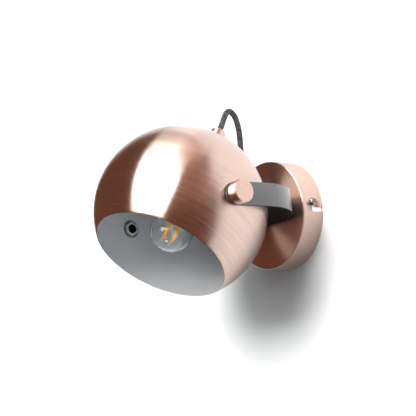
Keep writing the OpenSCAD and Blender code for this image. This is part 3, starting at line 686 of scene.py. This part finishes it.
def add_bow(paint, dark):
    """Grey paint on its outer side, and near-black paint on its inner side and edges as painted shade, with
    three holes for nipples.
    """
    width, thick, flat = 24 * MM, 2.5 * MM, 24 * MM
    outer_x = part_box("bow")[1].x
    back_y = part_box("bow")[1].y
    bend_out = outer_x - flat / 2
    mid = bend_out - thick / 2
    straight = back_y - bend_out - pivot.y
    half = flat / 2 + mid * math.pi / 2 + straight
    bm = flat_strip(half, width, thick, 0.35 * MM)
    cuts = 72
    just_short = 0.9999
    for k in range(-cuts, cuts + 1):
        split_along_x(bm, half * k / cuts * just_short)
    # Material 1, on the inner side and edges, is the near-black paint that stands in for painted shade
    piece = add_object(bm, "bow_strip", Matrix.Identity(4), [paint, dark])
    cut(piece, [rod(Matrix.Translation((x, 0, 0)), nipple_hole_r, -thick, thick) for x in (-half, 0, half)])
    for vert in piece.data.vertices:
        side = math.copysign(1, vert.co.x)
        run, across, out = abs(vert.co.x), vert.co.y, vert.co.z
        if run <= flat / 2:
            x, y = run, back_y - thick / 2 + out
        elif run <= flat / 2 + mid * math.pi / 2:
            angle = (run - flat / 2) / mid
            x = flat / 2 + (mid + out) * math.sin(angle)
            y = back_y - bend_out + (mid + out) * math.cos(angle)
        else:
            x = outer_x - thick / 2 + out
            y = back_y - bend_out - (run - flat / 2 - mid * math.pi / 2)
        vert.co = (side * x, y, across)
    piece.data.update()
    piece.data.set_sharp_from_angle(angle=math.radians(sharp_edge))
    settle(piece, "bow", "grey_paint", "bow")


# Threaded pieces

def threaded(name, place, radius, bore, low, high, pitch, depth, material, per_turn=48):
    """A tube with a helical thread outside and closed, chamfered ends."""
    rows_per_pitch = 6
    rows = max(4, round((high - low) / pitch * rows_per_pitch))
    crests = [(radius, low + (high - low) * k / rows) for k in range(rows + 1)]
    bm = spin_outline([(bore, low), *crests, (bore, high)], per_turn)
    for vert in bm.verts:
        spread = Vector(vert.co.xy).length
        if spread < radius - one_spot:
            continue
        phase = (vert.co.z / pitch - math.atan2(vert.co.y, vert.co.x) / (2 * math.pi)) % 1.0
        groove = abs(phase - 0.5) * 2
        end = max(0.0, 1 - min(vert.co.z - low, high - vert.co.z) / pitch)
        size = radius - depth * max(groove, end)
        vert.co.x *= size / spread
        vert.co.y *= size / spread
    return add_object(bm, name, place, [material], sharp=60)


def threaded_nipple(name, place, low, high, material):
    """A hollow nipple with its fine thread."""
    return threaded(name, place, nipple_r, nipple_bore_r, low, high, thread_pitch, thread_depth,
                    material)


def add_nipples(zinc, black_steel):
    """The stem's nipple, the swivel's nipple and the two pivot nipples."""
    stem_low, stem_high = 52 * MM, 99 * MM
    settle(threaded_nipple("stem_thread", place_shade, stem_low, stem_high, zinc),
           "shade", "zinc_steel", "stem_nipple")
    swivel_back, swivel_front = (-corner.y for corner in reversed(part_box("swivel_nipple")))
    settle(threaded_nipple("swivel_thread", place_wall, swivel_back, swivel_front, zinc),
           "bow", "zinc_steel", "swivel_nipple")
    pivot_in, pivot_out = 84.9 * MM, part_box("pivot_nipples")[1].x
    sides = [threaded_nipple("pivot_thread_" + side, place, pivot_in, pivot_out, black_steel)
             for side, place in (("near", place_near), ("far", place_far))]
    settle(joined(sides, "pivot_threads"), "shade", "zinc_steel", "pivot_nipples")


def add_bulb_cap(zinc):
    """The bulb's screw cap, with its coarse round thread."""
    cap_r, cap_bore_r = 6.9 * MM, 5.9 * MM
    cap_low, cap_high = 7.5 * MM, 27.5 * MM
    cap_pitch = 2.8 * MM
    piece = threaded("screw_cap", place_shade, cap_r, cap_bore_r, cap_low, cap_high, cap_pitch,
                     thread_depth, zinc, per_turn=64)
    settle(piece, "shade", "zinc_steel", "bulb_cap")


# Globe and filaments

def bulb_outline(r, neck_r, neck_z):
    """Half outline of the globe and its neck, open at the neck."""
    shoulder = math.acos(0.89)
    ball = [Vector((p.x, p.y + globe_z)) for p in arc(r, shoulder, math.pi, 72)]
    neck = Vector((neck_r, neck_z))
    pull = Vector((neck_r, neck_z - 0.55 * (neck_z - ball[0].y)))
    steps = 9
    blend = []
    for k in range(steps):
        t = k / steps
        blend.append(neck * (1 - t) ** 2 + pull * 2 * t * (1 - t) + ball[0] * t * t)
    return blend + ball


def add_bulb_globe(glass):
    """Clear globe, with a wall thick enough to show its bright edge."""
    r, wall = 22.5 * MM, 1.8 * MM
    neck_r, neck_z = 6.4 * MM, 7.5 * MM
    outer = bulb_outline(r, neck_r, neck_z)
    inner = bulb_outline(r - wall, neck_r - wall, neck_z)
    bm = spin_outline(outer + inner[::-1], 128)
    piece = add_object(bm, "glass_globe", place_shade, [glass], sharp=60)
    settle(piece, "shade", "clear_glass", "bulb_globe")


def add_filaments(amber, steel):
    """Four sticks with phosphor coats, a metal cap on each end, and bent support wires."""
    length, r, away = 26 * MM, 1 * MM, 7 * MM
    bare, coat_round = 1 * MM, 0.5 * MM
    cap_r, cap_in, cap_out, cap_round = 0.55 * MM, 1.2 * MM, 0.8 * MM, 0.2 * MM
    wire_r, bead_r = 0.25 * MM, 1.5 * MM
    low, high = globe_z - length / 2, globe_z + length / 2
    coat = [(0, low + bare, 0), (r, low + bare, coat_round),
            (r, high - bare, coat_round), (0, high - bare, 0)]
    sticks, wires = [], []
    for k in range(4):
        turn = place_shade @ Matrix.Rotation(math.radians(90 * k + 28), 4, "Z")
        stick = turn @ Matrix.Translation((away, 0, 0))
        sticks.append(spun("filament_" + str(k), coat, stick, [amber], 20, closed=False))
        for end, side in ((low, -1), (high, 1)):
            inner, outer = end - side * cap_in, end + side * cap_out
            cap = [(0, inner, 0), (cap_r, inner, 0), (cap_r, outer, cap_round), (0, outer, 0)]
            wires.append(spun("filament_end", cap, stick, [steel], 16, closed=False))
            bends = [(1.3 * MM, 0), (2.6 * MM, 0.5 * MM), (4.4 * MM, 0.7 * MM), (away, 0.5 * MM)]
            spoke = [turn @ Vector((x, 0, end + side * rise)) for x, rise in bends]
            wires.append(tube("filament_wire", smooth_route(spoke, 4), wire_r, 8, steel))
    bead = [Vector((p.x, p.y + low)) for p in arc(bead_r, 0, math.pi, 12)]
    wires.append(add_object(spin_outline(bead, 24, False), "filament_bead", place_shade, [steel]))
    settle(joined(sticks, "filament_sticks"), "shade", "amber_filament", "filaments")
    settle(joined(wires, "filament_wires"), "shade", "zinc_steel", "filament_supports")


# Stage and light

def add_plane(name, size, place, material):
    """A flat piece of the stage."""
    bm = bmesh.new()
    bmesh.ops.create_grid(bm, x_segments=1, y_segments=1, size=0.5)
    bmesh.ops.scale(bm, vec=(*size, 1), verts=bm.verts)
    plane = add_object(bm, name, place, [material])
    return plane


def stage_material(name, color, glow, tint=(1, 1, 1)):
    """Pale stage, seen from its front only, topped up to white where the camera or a gloss sees it."""
    material = new_material(name, color, 0.9, Specular_IOR_Level=0, Emission_Color=(*tint, 1))
    tree = material.node_tree
    shader = tree.nodes["Principled BSDF"]
    path = add_node(tree, "ShaderNodeLightPath").outputs
    seen = math_node(tree, "MAXIMUM", path["Is Camera Ray"], path["Is Glossy Ray"])
    seen = math_node(tree, "MAXIMUM", seen, path["Is Transmission Ray"])
    tree.links.new(math_node(tree, "MULTIPLY", seen, glow), shader.inputs["Emission Strength"])
    clear = add_node(tree, "ShaderNodeBsdfTransparent").outputs[0]
    back = add_node(tree, "ShaderNodeNewGeometry").outputs["Backfacing"]
    mix = add_node(tree, "ShaderNodeMixShader", {0: back, 1: shader.outputs[0], 2: clear})
    tree.links.new(mix.outputs[0], tree.nodes["Material Output"].inputs["Surface"])
    return material


def add_lamp(name, direction, distance, size, power):
    """An area light that faces the pivot and that the gloss doesn't see."""
    data = bpy.data.lights.new(name, "AREA")
    data.shape = "RECTANGLE"
    data.size, data.size_y = size
    data.energy = power
    lamp = bpy.data.objects.new(name, data)
    lamp.location = pivot + direction * distance
    lamp.rotation_mode = "QUATERNION"
    lamp.rotation_quaternion = direction.to_track_quat("Z", "Y")
    lamp.visible_glossy = False
    bpy.context.scene.collection.objects.link(lamp)
    return lamp


def hide_but_for_gloss(piece):
    """Leaves a piece of the stage to the gloss alone."""
    for way in ("camera", "diffuse", "transmission", "volume_scatter", "shadow"):
        setattr(piece, "visible_" + way, False)


def gloss_only(bm, name, place, color, strength):
    """A glowing piece of the stage that only the lamp's gloss sees."""
    material = new_material(name, (0, 0, 0), 1, Emission_Color=(*color, 1), Emission_Strength=strength,
                            Specular_IOR_Level=0)
    piece = add_object(bm, name, place, [material])
    hide_but_for_gloss(piece)


def add_panel(name, middle, corners, distance, color, strength):
    """A flat glowing panel as the gloss sees it, with corners in the given directions."""
    facing = towards(*middle)
    ways = [towards(*corner) for corner in corners]
    bm = bmesh.new()
    bm.faces.new([bm.verts.new(pivot + way * (distance / way.dot(facing))) for way in ways])
    gloss_only(bm, name, Matrix.Identity(4), color, strength)


def add_backdrop():
    """A pale wall and floor, and a board on the wall that only the gloss sees."""
    upright = Matrix.Rotation(math.pi / 2, 4, "X")
    wall_gap, board_gap = 0.6 * MM, 0.4 * MM
    wide = (6, 6)
    wall_paint = stage_material("pale_wall", (0.86, 0.86, 0.86), 0.03, (0.5, 0.9, 1))
    wall = add_plane("wall", wide, Matrix.Translation((0, wall_gap, 0)) @ upright, wall_paint)
    low, high = Vector((-0.65, -1.1)), Vector((0.75, 0.48))
    middle = (low + high) / 2
    board_place = Matrix.Translation((middle.x, board_gap, middle.y)) @ upright
    board_paint = stage_material("pale_board", (0.485, 0.477, 0.472), 0.08)
    board = add_plane("white_board", high - low, board_place, board_paint)
    hide_but_for_gloss(board)
    floor_paint = stage_material("pale_floor", (0.8, 0.8, 0.8), 0.55)
    floor = add_plane("floor", wide, Matrix.Translation((0, -2, -1.4)), floor_paint)
    wall.visible_glossy = floor.visible_glossy = floor.visible_diffuse = False
    return wall, board, floor


def add_world():
    """Pale to the camera and through glass, and dim as a light."""
    world = bpy.data.worlds.new("studio")
    world.use_nodes = True
    tree = world.node_tree
    path = add_node(tree, "ShaderNodeLightPath").outputs
    seen = math_node(tree, "MAXIMUM", path["Is Camera Ray"], path["Is Transmission Ray"])
    background = tree.nodes["Background"]
    background.inputs["Color"].default_value = (0.85, 0.93, 1, 1)
    tree.links.new(spread_node(tree, seen, 0.0, 1.0, 0.08, 0.9), background.inputs["Strength"])
    bpy.context.scene.world = world


def add_lamps(backdrop):
    """One softbox with a bright middle, and a low fill that leaves the backdrop alone."""
    for name, size, power in (("softbox", (1.3, 1.5), 100), ("softbox_edge", (3.4, 3.2), 41)):
        add_lamp(name, towards(15, 28.5), 2, size, power)
    fill = add_lamp("fill", towards(75, -22), 1.5, (1.5, 1.5), 23)
    fill.data.color = (0.85, 0.93, 1)
    unlit = bpy.data.collections.new("not_lit_by_fill")
    for k, plane in enumerate(backdrop):
        unlit.objects.link(plane)
        unlit.collection_objects[k].light_linking.link_state = "EXCLUDE"
    fill.light_linking.receiver_collection = unlit


def add_reflections():
    """What the copper shows: the softbox, two warm screens and a dark warm room."""
    softbox_corners = ((-5, -4), (33, -4), (51, 23), (63, 66), (-30, 66))
    screen_corners = ((40, 2), (98, 2), (125, 72), (45, 78))
    top_corners = ((75, 55), (135, 55), (150, 80), (60, 80))
    add_panel("softbox_front", (14, 24), softbox_corners, 1.4, (1, 1, 1), 6)
    add_panel("warm_screen", (72, 30), screen_corners, 1.6, (1, 0.54, 0.42), 0.36)
    add_panel("warm_top", (105, 66), top_corners, 1.5, (1, 0.68, 0.56), 0.9)
    room = bmesh.new()
    bmesh.ops.create_uvsphere(room, u_segments=48, v_segments=24, radius=2.4)
    gloss_only(room, "dark_room", Matrix.Translation(pivot), (1, 0.45, 0.28), 0.14)


# The lamp, put together

add_camera()
textile = braid_material()
add_supply_cord(textile)
backdrop = add_backdrop()
add_world()
add_lamps(backdrop)
add_reflections()

marks = brush_marks_group()
grain = fine_grain_group()
shade_copper = brushed_copper("brushed_copper_shade", place_shade, 1.0, marks, roughness=0.25)
canopy_copper = brushed_copper("brushed_copper_canopy", place_wall, 0.0, marks, mark=0.6, roughness=0.28,
                               anisotropy=0.9, contrast=0.015, bump=0.02, coat=0.35)
knob_look = {"mark": 0.8, "roughness": 0.28, "anisotropy": 0.5, "contrast": 0.03, "bump": 0.08,
             "tone": (0.75, 0.52, 0.44)}
near_copper = brushed_copper("brushed_copper_near_knob", place_near, 0.0, marks, **knob_look)
far_copper = brushed_copper("brushed_copper_far_knob", place_far, 0.0, marks, **knob_look)
white_paint = grain_material(grain, "white_paint", (0.47, 0.473, 0.475), 0.45, scale=900, spread=0.02)
grey_paint = grain_material(grain, "grey_paint", (0.06, 0.057, 0.058), 0.2, scale=1400, depth=0.005,
                            Coat_Weight=1, Coat_Roughness=0.15)
# Near-black paint for the bow's inner side and edges: painted shade where the strap lies in shade
painted_shade_paint = grain_material(grain, "painted_shade_paint", (0.014, 0.011, 0.011), 0.6, scale=1400, depth=0.01, IOR=1.3)
zinc = grain_material(grain, "zinc_steel", (0.62, 0.62, 0.61), 0.32, 1, scale=300)
pale_zinc = grain_material(grain, "pale_zinc", (0.92, 0.92, 0.9), 0.5, 0.1, scale=300, spread=0.03)
screw_steel = grain_material(grain, "screw_steel", (0.42, 0.38, 0.35), 0.28, 1, scale=300)
bright_nut = grain_material(grain, "bright_nut", (0.8, 0.78, 0.74), 0.35, 0.5, scale=300)
black_steel = grain_material(grain, "black_steel", (0.05, 0.045, 0.04), 0.4, 1, scale=300)
washer_grey = grain_material(grain, "grey_washer", (0.22, 0.21, 0.195), 0.5, 0.6, scale=400)
rubber = grain_material(grain, "black_rubber", (0.018, 0.017, 0.017), 0.6, scale=1500)
black_plastic = grain_material(grain, "black_plastic", (0.02, 0.02, 0.02), 0.45, scale=1500)
white_plastic = grain_material(grain, "white_plastic", (0.8, 0.79, 0.75), 0.35, scale=700, spread=0.02)
brass = grain_material(grain, "brass", (0.75, 0.58, 0.28), 0.3, 1, scale=400)
# The amber coat's faint emission is a painted glow, not light from a lit bulb
amber = grain_material(grain, "amber_coat_painted_glow", (0.85, 0.4, 0.03), 0.5, scale=1200,
                       Emission_Color=(1, 0.42, 0.02, 1), Emission_Strength=0.12)
glass = new_material("clear_glass", (1, 1, 1), 0.0, Transmission_Weight=1, IOR=1.52)

add_wires(grain)
add_inner_cords(textile)
add_shade(shade_copper, white_paint)
add_knob("near_knob_turned", place_near, near_copper, "near_knob", "near_knob")
add_knob("far_knob_turned", place_far, far_copper, "far_knob", "far_knob")
add_gland(shade_copper)
add_canopy(canopy_copper, zinc)
add_bow(grey_paint, painted_shade_paint)
add_bulb_globe(glass)
add_filaments(amber, zinc)

# Pieces that keep their packed form with rounded edges: body, slot, finish and rounding in mm
finishes = {
    "wall_bracket": ("base", "zinc_steel", pale_zinc, 0.3),
    "canopy_screws": ("base", "zinc_steel", screw_steel, 0.08),
    "terminal_block": ("base", "white_plastic", white_plastic, 0.5),
    "terminal_screws": ("base", "brass", brass, 0.15),
    "earth_screw": ("base", "brass", brass, 0.2),
    "swivel_spacer": ("bow", "black_rubber", rubber, 0.2),
    "swivel_front_nut": ("bow", "zinc_steel", zinc, 0.3),
    "swivel_rear_washer": ("bow", "zinc_steel", zinc, 0.15),
    "swivel_rear_nut": ("bow", "zinc_steel", zinc, 0.3),
    "cord_bush": ("bow", "black_plastic", black_plastic, 0.15),
    "inner_nuts": ("shade", "zinc_steel", bright_nut, 0.25),
    "inner_washers": ("shade", "grey_washer", washer_grey, 0.15),
    "pole_nut": ("shade", "zinc_steel", zinc, 0.3),
    "cord_grip": ("shade", "white_plastic", white_plastic, 0.1),
    "holder_cap": ("shade", "white_plastic", white_plastic, 0.5),
    "holder_shell": ("shade", "white_plastic", white_plastic, 0.4)}
for node, (body, slot, material, width) in finishes.items():
    softened(node, body, slot, material, width * MM)
add_friction_washers(washer_grey, rubber)

# Pieces that no side shows, or that are round as they are
kept_as_packed = {"holder_core": white_plastic, "thread_sleeve": brass, "centre_contact": brass,
                  "bulb_insulator": black_plastic, "bulb_tip": zinc, "bulb_stem": glass}
for node, material in kept_as_packed.items():
    nodes[node].data.materials.clear()
    nodes[node].data.materials.append(material)

add_nipples(zinc, black_steel)
add_bulb_cap(zinc)

bpy.context.scene.view_settings.view_transform = "Standard"
